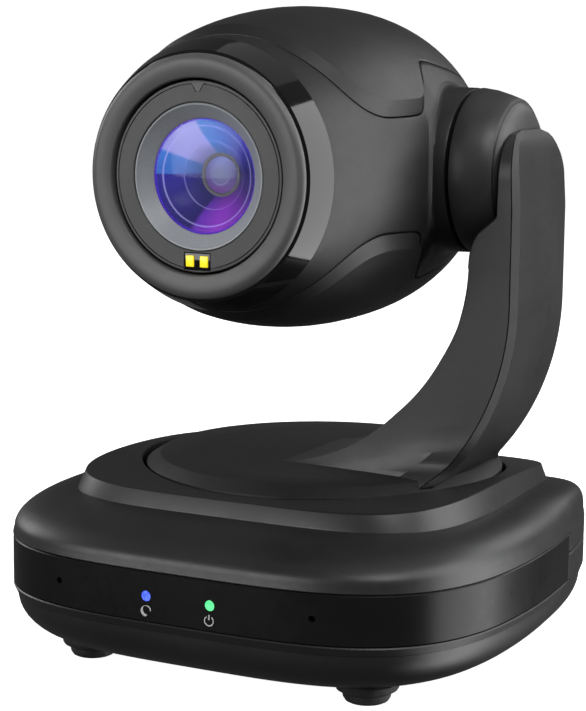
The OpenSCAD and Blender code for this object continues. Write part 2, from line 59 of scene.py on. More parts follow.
def curveAt(table, value):
    # reads a list of (position, result) pairs with rising positions
    if value <= table[0][0]:
        return table[0][1]
    for (p0, r0), (p1, r1) in zip(table, table[1:]):
        if value <= p1:
            part = (value - p0) / (p1 - p0)
            return r0 + (r1 - r0) * part
    return table[-1][1]


def onlySelect(piece):
    if bpy.context.object and bpy.context.object.mode != "OBJECT":
        bpy.ops.object.mode_set(mode="OBJECT")
    bpy.ops.object.select_all(action="DESELECT")
    piece.select_set(True)
    bpy.context.view_layer.objects.active = piece


def emptyPiece(name, points, edges, faces):
    mesh = bpy.data.meshes.new(name)
    mesh.from_pydata([(x / 1000, y / 1000, z / 1000) for x, y, z in points], edges, faces)
    piece = bpy.data.objects.new(name, mesh)
    bpy.context.collection.objects.link(piece)
    return piece


def tidyShell(piece, angle=32, merge=0.004):
    # welds seams, points faces outwards and smooths all but the sharp edges
    onlySelect(piece)
    bpy.ops.object.mode_set(mode="EDIT")
    bpy.ops.mesh.select_all(action="SELECT")
    bpy.ops.mesh.remove_doubles(threshold=merge / 1000)
    bpy.ops.mesh.dissolve_degenerate(threshold=merge / 1000)
    bpy.ops.mesh.normals_make_consistent(inside=False)
    bpy.ops.object.mode_set(mode="OBJECT")
    bpy.ops.object.shade_smooth_by_angle(angle=math.radians(angle))
    return piece


def sharper(piece, angle=16):
    onlySelect(piece)
    bpy.ops.object.shade_smooth_by_angle(angle=math.radians(angle))
    return piece


def finish(piece, material, body, slot, *replaced):
    piece.data.materials.clear()
    piece.data.materials.append(material)
    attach(piece, body)
    if replaced:
        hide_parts(*replaced)
    print("made", piece.name, len(piece.data.polygons), "faces")
    return piece


def turned(name, outline, centre, axis, steps=160, closed=True):
    # an outline of (radius, distance along the axis) spun round that axis
    along = Vector(axis)
    side = Vector((0, 0, 1)) if abs(along.z) < 0.5 else Vector((1, 0, 0))
    points = [Vector(centre) + along * d + side * r for r, d in outline]
    count = len(points)
    edges = [(i, i + 1) for i in range(count - 1)] + ([(count - 1, 0)] if closed else [])
    piece = emptyPiece(name, points, edges, [])
    onlySelect(piece)
    bpy.ops.object.mode_set(mode="EDIT")
    bpy.ops.mesh.select_all(action="SELECT")
    bpy.ops.mesh.spin(steps=steps, angle=math.tau, center=Vector(centre) / 1000, axis=along)
    bpy.ops.object.mode_set(mode="OBJECT")
    return tidyShell(piece)


def skinned(name, rings, capLow=True, capHigh=True, loop=False):
    # faces through rings of equal length, each ring closed
    size = len(rings[0])
    points = [p for ring in rings for p in ring]
    faces = []
    last = len(rings) if loop else len(rings) - 1
    for k in range(last):
        a, b = k * size, ((k + 1) % len(rings)) * size
        for i in range(size):
            j = (i + 1) % size
            faces.append((a + i, a + j, b + j, b + i))
    if not loop and capLow:
        faces.append(tuple(range(size))[::-1])
    if not loop and capHigh:
        faces.append(tuple((len(rings) - 1) * size + i for i in range(size)))
    return tidyShell(emptyPiece(name, points, [], faces))


def cutWith(piece, cutter):
    onlySelect(piece)
    knife = piece.modifiers.new("cut", "BOOLEAN")
    knife.operation = "DIFFERENCE"
    knife.solver = "EXACT"
    knife.object = cutter
    bpy.ops.object.modifier_apply(modifier=knife.name)
    bpy.data.objects.remove(cutter)
    bpy.ops.object.shade_smooth_by_angle(angle=math.radians(32))
    return piece


def rod(radius, depth, centre, axis, vertices=48):
    turn = Vector((0, 0, 1)).rotation_difference(Vector(axis)).to_euler()
    bpy.ops.object.select_all(action="DESELECT")
    bpy.ops.mesh.primitive_cylinder_add(
        vertices=vertices, radius=radius / 1000, depth=depth / 1000,
        location=Vector(centre) / 1000, rotation=turn)
    piece = bpy.context.object
    bpy.ops.object.transform_apply(location=True, rotation=True, scale=True)
    return piece


def block(size, centre):
    bpy.ops.object.select_all(action="DESELECT")
    bpy.ops.mesh.primitive_cube_add(size=1, location=Vector(centre) / 1000)
    piece = bpy.context.object
    piece.scale = Vector(size) / 1000
    bpy.ops.object.transform_apply(location=True, rotation=True, scale=True)
    return piece


# finishes

class Wire:
    def __init__(self, paint, socket):
        self.paint = paint
        self.socket = socket

    def maths(self, operation, first, second):
        return self.paint.out("ShaderNodeMath", {"operation": operation}, {0: first, 1: second})

    def __add__(self, other):
        return self.maths("ADD", self, other)

    def __mul__(self, other):
        return self.maths("MULTIPLY", self, other)

    def __sub__(self, other):
        return self.maths("SUBTRACT", self, other)

    def __pow__(self, other):
        return self.maths("POWER", self, other)


class Paint:
    def __init__(self, name):
        self.material = bpy.data.materials.new(name)
        self.material.use_nodes = True
        self.tree = self.material.node_tree
        self.shader = self.tree.nodes["Principled BSDF"]

    def feed(self, socket, value):
        if isinstance(value, Wire):
            self.tree.links.new(value.socket, socket)
        else:
            socket.default_value = value

    def add(self, kind, settings, inputs):
        made = self.tree.nodes.new(kind)
        for key, value in settings.items():
            if key == "stops":
                ramp = made.color_ramp
                while len(ramp.elements) < len(value):
                    ramp.elements.new(0.5)
                for element, (place, colour) in zip(ramp.elements, value):
                    element.position = place
                    element.color = colour
            else:
                setattr(made, key, value)
        for key, value in inputs.items():
            self.feed(made.inputs[key], value)
        return made

    def out(self, kind, settings, inputs, output=0):
        return Wire(self, self.add(kind, settings, inputs).outputs[output])

    def place(self):
        return self.out("ShaderNodeTexCoord", {}, {}, "Object")

    def noise(self, scale, detail=3.0, rough=0.5, where=None):
        return self.out("ShaderNodeTexNoise", {}, {
            "Vector": where or self.place(), "Scale": scale, "Detail": detail, "Roughness": rough})

    def mix(self, factor, one, two):
        return self.out("ShaderNodeMix", {"data_type": "RGBA"}, {0: factor, 6: one, 7: two}, 2)

    def spread(self, value, fromLow, fromHigh, toLow, toHigh):
        return self.out("ShaderNodeMapRange", {}, {
            0: value, 1: fromLow, 2: fromHigh, 3: toLow, 4: toHigh})

    def bump(self, height, distance, strength=1.0):
        return self.out("ShaderNodeBump", {}, {
            "Height": height, "Distance": distance, "Strength": strength})

    def set(self, **values):
        for key, value in values.items():
            self.feed(self.shader.inputs[key.replace("_", " ")], value)
        return self.material


def rgb(red, green, blue):
    return (red, green, blue, 1.0)


def satinPlastic(name, dark, light, rough, grain, depth, specular=0.5):
    # moulded plastic with a fine spark-eroded grain, faint cloudiness and a few handling marks
    paint = Paint(name)
    fine = paint.noise(grain, 4.0, 0.6)
    broad = paint.noise(38, 3.0, 0.55)
    marks = paint.noise(420, 5.0, 0.65)
    shade = paint.spread(fine * 0.55 + broad * 0.45, 0.36, 0.64, 0.0, 1.0)
    return paint.set(
        Base_Color=paint.mix(shade, rgb(*dark), rgb(*light)),
        Roughness=paint.spread(broad * 0.5 + marks * 0.5, 0.35, 0.65, rough - 0.05, rough + 0.06),
        Normal=paint.bump(fine * 0.75 + marks * 0.25, depth),
        Specular_IOR_Level=specular)


def glossPlastic(name, colour, rough=0.06):
    # polished plastic with the slight ripple and dust haze of a moulded part
    paint = Paint(name)
    ripple = paint.noise(30, 2.0, 0.4)
    haze = paint.noise(900, 4.0, 0.7)
    paler = tuple(min(1.0, c * 1.5 + 0.002) for c in colour)
    return paint.set(
        Base_Color=paint.mix(paint.spread(ripple, 0.4, 0.6, 0.0, 1.0), rgb(*colour), rgb(*paler)),
        Roughness=paint.spread(haze * 0.6 + ripple * 0.4, 0.4, 0.65, rough, rough + 0.05),
        Normal=paint.bump(ripple, 0.00003))


def metal(name, colour, rough, brush, metallic=1.0):
    # turned or brushed metal: stretched noise in the finish, small stains in the colour
    paint = Paint(name)
    stretched = paint.out("ShaderNodeMapping", {}, {"Vector": paint.place(), "Scale": brush})
    lines = paint.noise(1.0, 4.0, 0.6, stretched)
    stain = paint.noise(160, 3.0, 0.5)
    darker = tuple(c * 0.72 for c in colour)
    return paint.set(
        Base_Color=paint.mix(paint.spread(stain, 0.35, 0.65, 0.0, 1.0), rgb(*darker), rgb(*colour)),
        Metallic=metallic,
        Roughness=paint.spread(lines, 0.3, 0.7, rough, rough + 0.18),
        Normal=paint.bump(lines, 0.00002))


def rubber(name):
    paint = Paint(name)
    grain = paint.noise(2600, 5.0, 0.7)
    dust = paint.noise(240, 4.0, 0.6)
    return paint.set(
        Base_Color=paint.mix(
            paint.spread(dust, 0.45, 0.75, 0.0, 1.0), rgb(0.012, 0.012, 0.013), rgb(0.035, 0.034, 0.033)),
        Roughness=paint.spread(grain, 0.3, 0.7, 0.6, 0.85),
        Normal=paint.bump(grain, 0.00006))


def lamp(name, core, rim, power):
    # light pipe: a bright core colour and a deeper rim colour, mixed by a fine mottle
    paint = Paint(name)
    mottle = paint.noise(1800, 2.0, 0.5)
    tint = paint.mix(paint.spread(mottle, 0.35, 0.65, 0.0, 1.0), rgb(*rim), rgb(*core))
    return paint.set(Base_Color=tint, Emission_Color=tint, Emission_Strength=power, Roughness=0.25)


def circuitBoard(name):
    paint = Paint(name)
    tracks = paint.out("ShaderNodeTexBrick", {}, {
        "Vector": paint.place(), "Scale": 240.0, "Mortar Size": 0.03,
        "Color1": rgb(0.012, 0.10, 0.04), "Color2": rgb(0.016, 0.13, 0.055),
        "Mortar": rgb(0.05, 0.24, 0.10)})
    gloss = paint.spread(paint.noise(500), 0.3, 0.7, 0.25, 0.4)
    return paint.set(Base_Color=tracks, Roughness=gloss)


plastics = {
    "shell": dict(
        dark=(0.0105, 0.0105, 0.0112), light=(0.0160, 0.0160, 0.0168),
        rough=0.40, grain=3200, depth=0.000035),
    "head": dict(
        dark=(0.0105, 0.0105, 0.0112), light=(0.0155, 0.0155, 0.0162),
        rough=0.42, grain=3200, depth=0.000035, specular=0.34),
    # a lighter copy of the arm plastic, used on the arm shell and hub: painted light for the lit front
    "arm": dict(
        dark=(0.019, 0.019, 0.020), light=(0.027, 0.027, 0.028),
        rough=0.44, grain=3400, depth=0.00003),
    # a darker, less glossy copy of the same arm plastic for the arm cover: painted shade for the side turned
    # from the lights
    "cover": dict(
        dark=(0.009, 0.009, 0.010), light=(0.013, 0.013, 0.014),
        rough=0.46, grain=3400, depth=0.00003, specular=0.3),
    "disc": dict(
        dark=(0.009, 0.009, 0.0095), light=(0.013, 0.013, 0.0137),
        rough=0.46, grain=3200, depth=0.00003),
    "ring": dict(
        dark=(0.075, 0.075, 0.077), light=(0.095, 0.095, 0.097),
        rough=0.45, grain=3600, depth=0.00002),
    "face": dict(
        dark=(0.055, 0.055, 0.056), light=(0.068, 0.068, 0.069),
        rough=0.5, grain=3600, depth=0.00002),
    "trim": dict(
        dark=(0.27, 0.285, 0.305), light=(0.33, 0.345, 0.365),
        rough=0.42, grain=2500, depth=0.00001),
    "moulded": dict(
        dark=(0.02, 0.02, 0.021), light=(0.03, 0.03, 0.031),
        rough=0.5, grain=2600, depth=0.00004),
    "nylon": dict(
        dark=(0.62, 0.60, 0.52), light=(0.72, 0.70, 0.62),
        rough=0.42, grain=1400, depth=0.00004),
    "acetal": dict(
        dark=(0.48, 0.37, 0.22), light=(0.58, 0.46, 0.29),
        rough=0.4, grain=1400, depth=0.00004),
}
skin = {key: satinPlastic(key + "Plastic", **values) for key, values in plastics.items()}
skin["gloss"] = glossPlastic("pianoBlack", (0.004, 0.004, 0.0045), 0.05)
skin["fascia"] = satinPlastic(
    "fasciaBlack", (0.006, 0.006, 0.0065), (0.009, 0.009, 0.0095), 0.3, 2600, 0.000008, 0.2)
skin["steel"] = metal("zincSteel", (0.58, 0.58, 0.6), 0.28, (1500.0, 1500.0, 200.0))
skin["brass"] = metal("turnedBrass", (0.72, 0.53, 0.23), 0.2, (300.0, 300.0, 2600.0))
skin["plated"] = metal("platedShell", (0.66, 0.66, 0.68), 0.16, (900.0, 200.0, 900.0))
skin["rubber"] = rubber("footRubber")
skin["blueLamp"] = lamp("standbyBlue", (0.10, 0.17, 0.95), (0.05, 0.09, 0.75), 1.0)
skin["greenLamp"] = lamp("powerGreen", (0.16, 0.9, 0.35), (0.08, 0.7, 0.22), 0.9)
skin["amber"] = lamp("amberWindow", (1.0, 0.82, 0.03), (0.95, 0.72, 0.01), 0.55)
skin["board"] = circuitBoard("solderMask")
skin["mark"] = satinPlastic("printWhite", (0.5, 0.5, 0.5), (0.62, 0.62, 0.62), 0.55, 2600, 0.00001)


def paintNode(name, key):
    piece = nodes[name]
    piece.data.materials.clear()
    piece.data.materials.append(skin[key])
    onlySelect(piece)
    bpy.ops.object.shade_smooth_by_angle(angle=math.radians(30))


# base

base = dict(
    halfWidth=65.0, front=73.1, rear=50.5, bandLow=17.6, bandHigh=29.3, parting=24.2, lip=31.2,
    ledge=38.6, plinthTop=44.0, holeRadius=46.3, floor=36.0, underside=5.0, fasciaEnd=9.0, recess=2.2)
front = dict(
    drillY=-61, height=23.6, microphoneX=33, microphoneRadius=0.78, lightX=8.3, lightRadius=1.28,
    printY=-61.78, printHeight=20.15)


def anglesRound(count=192):
    # evenly spaced, with two close neighbours where each end of the fascia stands
    t = math.degrees(math.asin(base["fasciaEnd"] / base["halfWidth"])) + 0.06
    turns = [i * 360 / count for i in range(count)]
    for end in (t, 180 - t):
        turns = [a for a in turns if abs(a - end) > 0.5] + [end - 0.12, end + 0.12]
    return sorted(turns)


turns = anglesRound()


def inFascia(y):
    return y < base["fasciaEnd"]


def outline(hx, yf, yr, nf, nr, recess=0.0):
    # rounded outline round the pan axis, bulged in front, its sides drawn in to the rear
    points = []
    for a in turns:
        c, s = math.cos(math.radians(a)), math.sin(math.radians(a))
        power = nf if s < 0 else nr
        reach = (abs(c) ** power + abs(s) ** power) ** (-1 / power)
        y = (yf if s < 0 else yr) * reach * s
        x = hx * reach * c * (1 - 0.000026 * max(0.0, y + 20) ** 2)
        if recess and inFascia(y):
            size = math.hypot(x, y)
            x -= recess * x / size
            y -= recess * y / size
        points.append((x, y))
    return points


def band(inset=0.0, recess=0.0):
    return outline(base["halfWidth"] - inset, base["front"] - inset, base["rear"] - inset, 3.6, 5, recess)


def sag(y):
    return max(0.0, y - 5) ** 2 / 422


def crown(y):
    return base["plinthTop"] - (y + 15) ** 2 / 736


def level(shape, height, droop=0.0):
    return [(x, y + panY, height - droop * sag(y)) for x, y in shape]


def crowned(shape, drop=0.0):
    return [(x, y + panY, crown(y) - drop) for x, y in shape]


def between(one, two, part):
    return [(a[0] + (b[0] - a[0]) * part, a[1] + (b[1] - a[1]) * part) for a, b in zip(one, two)]


def circle(radius):
    return [(radius * math.cos(math.radians(a)), radius * math.sin(math.radians(a))) for a in turns]


def upperShell():
    low, lip, ledge = base["bandHigh"], base["lip"], base["ledge"]
    rings = [
        level(band(3.2, base["recess"]), base["parting"] + 0.2),
        level(band(0.45, base["recess"]), base["parting"] + 0.2),
        level(band(0.0, base["recess"]), base["parting"] + 0.6),
        level(band(0.0, base["recess"]), low + 0.12),
        level(band(0.0, 0.3), low + 0.12),
        level(band(0.05), low + 0.42),
        level(band(0.35), lip),
    ]
    foot = band(0.35)
    plinth = outline(52.7, 52.6, 49.4, 4.27, 6)
    steps = 14
    # the ledge widens towards the rear, where the shoulder turns squarer
    for k in range(1, steps + 1):
        angle = math.radians(90 * k / steps)
        ring = []
        for (ax, ay), (px, py) in zip(foot, plinth):
            gap = math.hypot(ax - px, ay - py)
            wide = min(3.7 * smoothStep(py, -18, 36), gap * 0.55)
            lx = px + (ax - px) / gap * wide
            ly = py + (ay - py) / gap * wide
            power = 2 + 1.1 * smoothStep(py, -5, 40)
            out = 1 - max(0.0, math.cos(angle)) ** (2 / power)
            rise = math.sin(angle) ** (2 / power)
            top = ledge - sag(ly) + 0.2 * smoothStep(py, -18, 36)
            ring.append((
                ax + (lx - ax) * out, ay + (ly - ay) * out + panY, lip + (top - lip) * rise))
        rings.append(ring)
    topEdge = outline(51.0, 50.9, 47.9, 4.27, 6.2)
    rings += [
        level(plinth, ledge + 0.06, 1.0),
        level(between(plinth, topEdge, 0.04), ledge + 0.3, 1.0),
        crowned(between(plinth, topEdge, 0.97), 0.12),
        crowned(between(topEdge, circle(44), 0.03)),
        crowned(between(topEdge, circle(base["holeRadius"]), 0.12)),
        crowned(between(topEdge, circle(base["holeRadius"]), 0.55)),
        crowned(circle(base["holeRadius"] + 0.35)),
        crowned(circle(base["holeRadius"] + 0.08), 0.12),
        crowned(circle(base["holeRadius"]), 0.4),
        level(circle(base["holeRadius"]), base["floor"]),
        level(circle(30), base["floor"]),
        level(circle(13.6), base["floor"]),
        level(circle(13.6), base["floor"] - 2.4),
        level(circle(40), base["floor"] - 2.4),
        level(band(8.0), base["bandHigh"]),
    ]
    return sharper(skinned("upperShell", rings, loop=True), 17)


def lowerShell():
    parting, low = base["parting"], base["bandLow"]
    rings = [
        level(band(3.2, base["recess"]), parting),
        level(band(0.35, base["recess"]), parting),
        level(band(0.0, base["recess"]), parting - 0.35),
        level(band(0.0, base["recess"]), low - 0.12),
        level(band(0.0, 0.35), low - 0.12),
        level(band(0.1), low - 0.4),
        level(band(0.75), low - 2.1),
        level(band(0.95), low - 2.25),
    ]
    steps = 12
    for k in range(1, steps + 1):
        angle = math.radians(90 * k / steps)
        out = 1 - math.cos(angle)
        height = low - 2.35 - (low - 2.35 - base["underside"]) * math.sin(angle)
        rings.append(level(outline(
            64.0 - 11.2 * out, 72.1 - 11.2 * out, 49.5 - 6 * out, 3.6, 5), height))
    rings += [
        level(outline(50.5, 58.6, 41.5, 3.6, 5), base["underside"]),
        level(outline(30, 34, 25, 3.0, 3.6), base["underside"]),
        level(circle(5.1), base["underside"]),
        level(circle(5.1), base["underside"] + 2),
        level(outline(48, 56, 40, 3.6, 5), base["underside"] + 2),
        level(outline(58, 66, 46, 3.6, 5), base["underside"] + 6),
        level(band(4.4), low),
        level(band(4.4), parting - 1),
    ]
    shell = skinned("lowerShell", rings, loop=True)
    panelLow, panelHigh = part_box("rear_panel")
    middle = (panelLow + panelHigh) * 500
    size = (panelHigh - panelLow) * 1000
    cutWith(shell, block((size.x + 0.3, 12, size.z + 0.3), (middle.x, middle.y, middle.z)))
    return shell


def fasciaBand():
    # a strip that wraps the front and both sides, bevelled along its edges and ends
    low, high = base["bandLow"] + 0.02, base["bandHigh"] - 0.02
    section = [
        (2.1, low), (0.42, low), (0.14, low + 0.28), (0.12, (low + high) / 2), (0.14, high - 0.28),
        (0.42, high), (2.1, high)]
    strips = []
    for inset, height in section:
        row = []
        for (x, y) in band(0.0):
            if y < base["fasciaEnd"] - 0.15:
                size = math.hypot(x, y)
                row.append((x - inset * x / size, y - inset * y / size + panY, height))
        # from one end to the other, round the front
        strips.append(sorted(row, key=lambda p: -math.atan2(p[1] - panY - 20, p[0]) % math.tau))
    rings = [list(ring) for ring in zip(*strips)]
    piece = skinned("fasciaBand", rings)
    for hole in ("microphone", "light"):
        for x in (-front[hole + "X"], front[hole + "X"]):
            middle = (x, front["drillY"], front["height"])
            cutWith(piece, rod(front[hole + "Radius"], 8, middle, (0, 1, 0), 32))
    return piece


finish(upperShell(), skin["shell"], "base", "charcoal_plastic", "upper_shell")
finish(lowerShell(), skin["shell"], "base", "charcoal_plastic", "lower_shell")
finish(fasciaBand(), skin["fascia"], "base", "gloss_black", "front_fascia")


def pictograms():
    # a crescent under the standby light and a broken ring with a bar under the power light
    wide, fine = 1.25, 0.98
    marks = []

    def strip(outer, inner):
        count = len(outer)
        points = [(x, front["printY"], z) for x, z in outer + inner]
        faces = [(i, i + 1, count + i + 1, count + i) for i in range(count - 1)]
        marks.append(emptyPiece("mark", points, [], faces))

    def bow(x, z, radius, angles):
        return [(x + radius * math.cos(a), z + radius * math.sin(a)) for a in angles]

    x0, z0 = -front["lightX"], front["printHeight"]
    arc = [math.radians(a) + 0.9 for a in range(-52, 233, 12)]
    strip(bow(x0, z0, wide, arc), bow(x0 + 0.4, z0 + 0.3, 1.08, arc))
    x0 = front["lightX"]
    arc = [math.radians(a) for a in range(125, 416, 12)]
    strip(bow(x0, z0, wide, arc), bow(x0, z0, fine, arc))
    strip([(x0 - 0.15, z0 + 0.2), (x0 - 0.15, z0 + 1.45)], [(x0 + 0.15, z0 + 0.2), (x0 + 0.15, z0 + 1.45)])
    onlySelect(marks[0])
    for mark in marks:
        mark.select_set(True)
    bpy.ops.object.join()
    piece = bpy.context.object
    piece.name = "lightMarks"
    thick = piece.modifiers.new("ink", "SOLIDIFY")
    thick.thickness = 0.00006
    thick.offset = 0
    bpy.ops.object.modifier_apply(modifier=thick.name)
    return tidyShell(piece, merge=0.001)


finish(pictograms(), skin["mark"], "base", "gear_white")

footShape = [
    (0, 0.7), (2.6, 0.0), (4.4, 0.0), (5.0, 0.3), (5.5, 1.1), (5.7, 2.2), (6.1, 2.6), (7.1, 3.0),
    (7.4, 3.5), (7.4, 4.6), (6.8, 5.3), (0, 5.3)]


def rubberFeet():
    # four ribbed pads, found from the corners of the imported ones
    low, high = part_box("rubber_feet")
    reach = 6.5
    across = (low.x * 1000 + reach, high.x * 1000 - reach)
    deep = (low.y * 1000 + reach, high.y * 1000 - reach)
    feet = [turned("foot", footShape, (x, y, 0), (0, 0, 1), steps=64, closed=False)
            for x in across for y in deep]
    onlySelect(feet[0])
    for foot in feet:
        foot.select_set(True)
    bpy.ops.object.join()
    bpy.context.object.name = "rubberFeet"
    return bpy.context.object


finish(rubberFeet(), skin["rubber"], "base", "foot_rubber", "rubber_feet")

# turntable

disc = dict(top=45.3, flat=41.6, rim=45.3, rimHeight=43.2, skirt=37.3)


def turntable():
    d = disc
    return turned("turntable", [
        (0, d["top"] - 2.0), (0, d["top"]), (20, d["top"]), (32, d["top"]), (d["flat"], d["top"] - 0.04),
        (d["flat"] + 0.3, d["top"] - 0.2), (d["rim"] - 0.45, d["rimHeight"] + 0.1),
        (d["rim"], d["rimHeight"] - 0.2), (d["rim"], d["skirt"]), (d["rim"] - 2.2, d["skirt"]),
        (d["rim"] - 2.2, d["top"] - 2.2),
    ], (0, panY, 0), (0, 0, 1), closed=False)


finish(turntable(), skin["disc"], "pan", "charcoal_plastic", "turntable")

# arm

arm = dict(
    inner=(-8.0, 95.8, 50.3), outer=(-4.8, 88.0, 62.3), half=17.0, seam=1.6, gap=0.2, bevel=0.4,
    foot=43.9, top=128.4, corner=11.0, diskEdge=45.3, frameHalf=11,
    hollow=[
        (0, 50.8), (0.25, 50.4), (0.5, 50.3), (0.6, 50.9), (0.72, 51.6), (0.83, 52.7), (0.94, 53.2),
        (1, 53.4)],
    neck=[
        (95.8, 45.2), (99.5, 45.5), (102, 46.1), (104.4, 47.3), (108.2, 51.8), (108.8, 52.2), (128.4, 52.4)],
    lean=[(110, 0.0), (118.5, 0.6), (122, 1.1), (124.5, 1.7), (126.5, 2.5), (128.4, 3.8)])


def arcPoint(circleSpec, radius, degrees):
    turn = math.radians(degrees)
    return (circleSpec[0] + radius * math.cos(turn), circleSpec[1] + radius * math.sin(turn))


def footTurn(radius, height):
    return -math.degrees(math.asin((arm["outer"][1] - height) / radius))


def innerSide(u):
    # u runs 0 at the foot's tip, 1 where the curve ends, 2 at the upper end
    if u <= 1:
        return arcPoint(arm["inner"], curveAt(arm["hollow"], u), -90 + 90 * u)
    height = arm["inner"][1] + (arm["top"] - arm["inner"][1]) * (u - 1)
    return (curveAt(arm["neck"], height), height)


def outerSide(u, depth):
    radius = arm["outer"][2] - depth
    if u <= 1:
        start = footTurn(radius, arm["foot"])
        return arcPoint(arm["outer"], radius, start * (1 - u))
    height = arm["outer"][1] + (arm["top"] - arm["outer"][1]) * (u - 1)
    lean = curveAt(arm["lean"], height)
    return (arm["outer"][0] + radius - lean * (1 - depth * 0.25), height)


def halfDepth(x, z):
    wide = arm["half"]
    start = arm["top"] - arm["corner"]
    if z > start:
        wide += arm["corner"] * (max(0.0, 1 - ((z - start) / arm["corner"]) ** 2) ** 0.5 - 1)
    low = math.exp(-max(0.0, z - 44.5) / 3.6)
    flare = -0.4 + 2.9 * smoothStep(x, 2, 34) + 4.2 * smoothStep(x, 28, 39)
    rim = max(0.0, arm["diskEdge"] ** 2 - x ** 2) ** 0.5
    return wide + min(flare, max(0.0, rim - arm["half"])) * low


def armStations():
    foot = [0.0, 0.004, 0.012]
    curve = [0.03 + 0.97 * i / 46 for i in range(47)]
    upright = [1 + i / 40 for i in range(1, 41)]
    return foot + curve + upright


def armShell():
    rings = []
    for u in armStations():
        ix, iz = innerSide(u)
        sx, sz = outerSide(u, arm["seam"])
        wi = halfDepth(ix, iz)
        b = arm["bevel"]
        length = max(0.001, math.hypot(sx - ix, sz - iz))
        tx = (sx - ix) / length * min(b, length * 0.4)
        tz = (sz - iz) / length * min(b, length * 0.4)
        rows = 5
        side = [((ix + tx) + (sx - ix - tx) * k / rows, (iz + tz) + (sz - iz - tz) * k / rows)
                for k in range(rows + 1)]
        front = [(x, panY - halfDepth(x, z), z) for x, z in side]
        back = [(x, panY + halfDepth(x, z), z) for x, z in reversed(side)]
        rings.append([(ix, panY - wi + b, iz)] + front + back + [(ix, panY + wi - b, iz)])
    return sharper(skinned("armShell", rings))


def armCover():
    rings = []
    for u in armStations():
        sx, sz = outerSide(u, arm["seam"] - arm["gap"])
        ox, oz = outerSide(u, 0.0)
        ws, wo = halfDepth(sx, sz), halfDepth(ox, oz)
        edge = min(1.9, wo * 0.4)
        ring = [(sx - 1.2, panY - ws + 0.6, sz), (sx, panY - ws + 0.25, sz), (sx + 0.1, panY - ws, sz),
                (ox, panY - wo + edge, oz)]
        rows = 6
        ring += [(ox, panY + (wo - edge) * (2 * k / rows - 1), oz) for k in range(1, rows)]
        ring += [(ox, panY + wo - edge, oz), (sx + 0.1, panY + ws, sz), (sx, panY + ws - 0.25, sz),
                 (sx - 1.2, panY + ws - 0.6, sz)]
        rings.append(ring)
    return sharper(skinned("armCover", rings))


def armFrame():
    # steel strip inside the two mouldings, from the disc up to the trunnion
    rings = []
    for u in [0.42 + 1.2 * i / 40 for i in range(41)]:
        (ix, iz), (ox, oz) = innerSide(u), outerSide(u, arm["seam"])
        near, far, half = 0.38, 0.72, arm["frameHalf"]
        ax, az = ix + (ox - ix) * near, iz + (oz - iz) * near
        bx, bz = ix + (ox - ix) * far, iz + (oz - iz) * far
        rings.append([
            (ax, panY - half, az), (bx, panY - half, bz), (bx, panY + half, bz), (ax, panY + half, az)])
    return sharper(skinned("armFrame", rings))


finish(armFrame(), skin["steel"], "pan", "steel", "arm_frame")
# shell and hub take the lighter copy of the arm plastic, the cover the darker one: painted light and painted
# shade
finish(armShell(), skin["arm"], "pan", "arm_plastic", "arm_shell")
finish(armCover(), skin["cover"], "pan", "arm_plastic", "arm_cover")

hub = dict(face=40.8)


def hubBarrel():
    return turned("hubBarrel", [
        (8.0, hub["face"]), (19.1, hub["face"]), (19.6, hub["face"] + 0.15),
        (19.75, hub["face"] + 0.6), (19.3, 44.5),
        (18.4, 47.6), (17.4, 50.4), (17.1, 50.7), (16.5, 50.8), (8.0, 50.8),
    ], (0, panY, tiltZ), (1, 0, 0))


def hubDome():
    return turned("hubDome", [
        (0, 49.0), (16.4, 49.0), (16.4, 50.9), (15.7, 51.6), (14.4, 52.3), (12.6, 52.8),
        (10.4, 53.1), (7.6, 53.25), (4.0, 53.3), (0, 53.3),
    ], (0, panY, tiltZ), (1, 0, 0), closed=False)


finish(hubBarrel(), skin["arm"], "pan", "arm_plastic")
finish(hubDome(), skin["arm"], "pan", "arm_plastic", "hub_cap")

# head

head = dict(
    seam=0.38, radius=38.7, coreFront=57.3, coverFront=48.0, coverRear=-21.9, shellFront=-22.05,
    bossFace=40.0, bossFoot=30.0, windowDrop=18.75)


def headRadius(d):
    part = ((d - 10) / 78.2) ** 2 if d > 10 else ((10 - d) / 58) ** 2.6
    return head["radius"] * max(0.0, 1 - part) ** 0.5


def coreInset(d):
    return 0.16 + 1.34 * smoothStep(d, 12.5, 19)


def headPoint(d, angle, inset=0.0):
    r = headRadius(d) - inset
    return (r * math.cos(math.radians(angle)), panY - d, tiltZ + r * math.sin(math.radians(angle)))


def thicken(piece, thickness):
    onlySelect(piece)
    wall = piece.modifiers.new("wall", "SOLIDIFY")
    wall.thickness = thickness / 1000
    wall.offset = -1
    bpy.ops.object.modifier_apply(modifier=wall.name)
    return piece


def coreStations():
    # the core stops a seam's width short of each raised cover's foot
    stations = [(head["coreFront"], 90, 0.3), (57.1, 90, 0.08)]
    stations += [(d, 90, 0.0) for d in (56.9, 55, 53, 51.6)]
    path = along(coverFoot, 132)
    for k, (d, a) in enumerate(path):
        (d0, a0), (d1, a1) = path[max(k - 1, 0)], path[min(k + 1, len(path) - 1)]
        r = headRadius(d)
        tangent = Vector((d1 - d0, math.radians(a1 - a0) * r)).normalized()
        out = Vector((-tangent.y, tangent.x)) * head["seam"] if k else Vector((head["seam"], 0))
        stations.append((d + out.x, min(90, a + math.degrees(out.y / r)), 0.0))
    return stations


